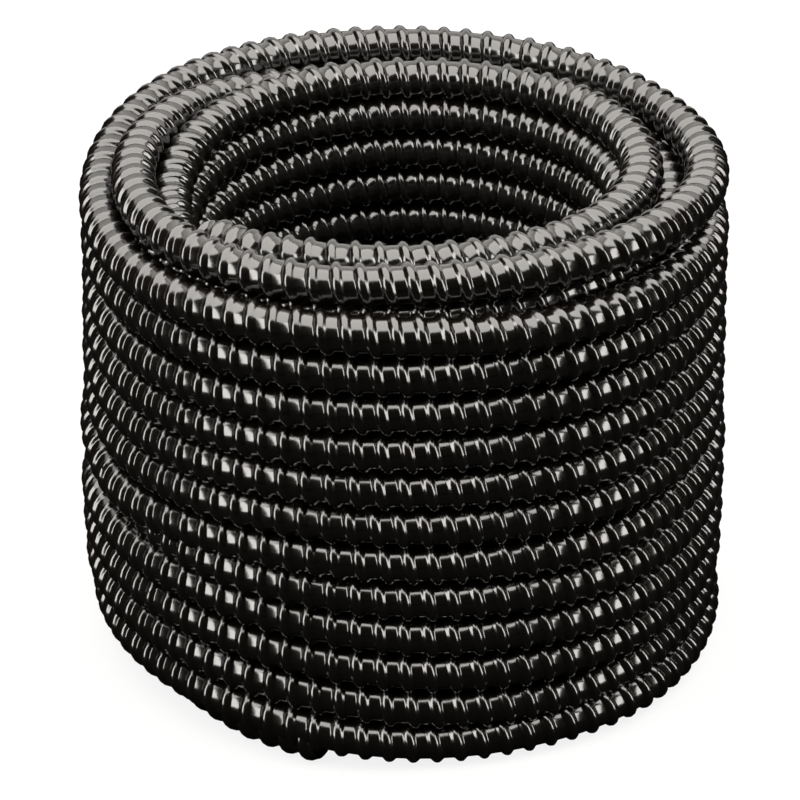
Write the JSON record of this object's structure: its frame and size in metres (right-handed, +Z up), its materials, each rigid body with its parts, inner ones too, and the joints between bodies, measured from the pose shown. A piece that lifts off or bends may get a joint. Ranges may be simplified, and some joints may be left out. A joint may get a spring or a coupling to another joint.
{
  "type": "coil of corrugated conduit",
  "caption": "Free-standing coil of glossy black flexible conduit with a helical rib, wound in layers round an open middle, both cut ends free.",
  "frame": {"origin": "on the coil's axis, at the floor it stands on", "axes": "+Z up along the coil's axis, -Y towards the side where both cut ends lie"},
  "size_m": [0.3056, 0.3056, 0.2601],
  "materials": {
    "conduit": "extruded black PVC with a wet gloss"
  },
  "bodies": {
    "root": {"conduit": "conduit"}
  },
  "joints": []
}
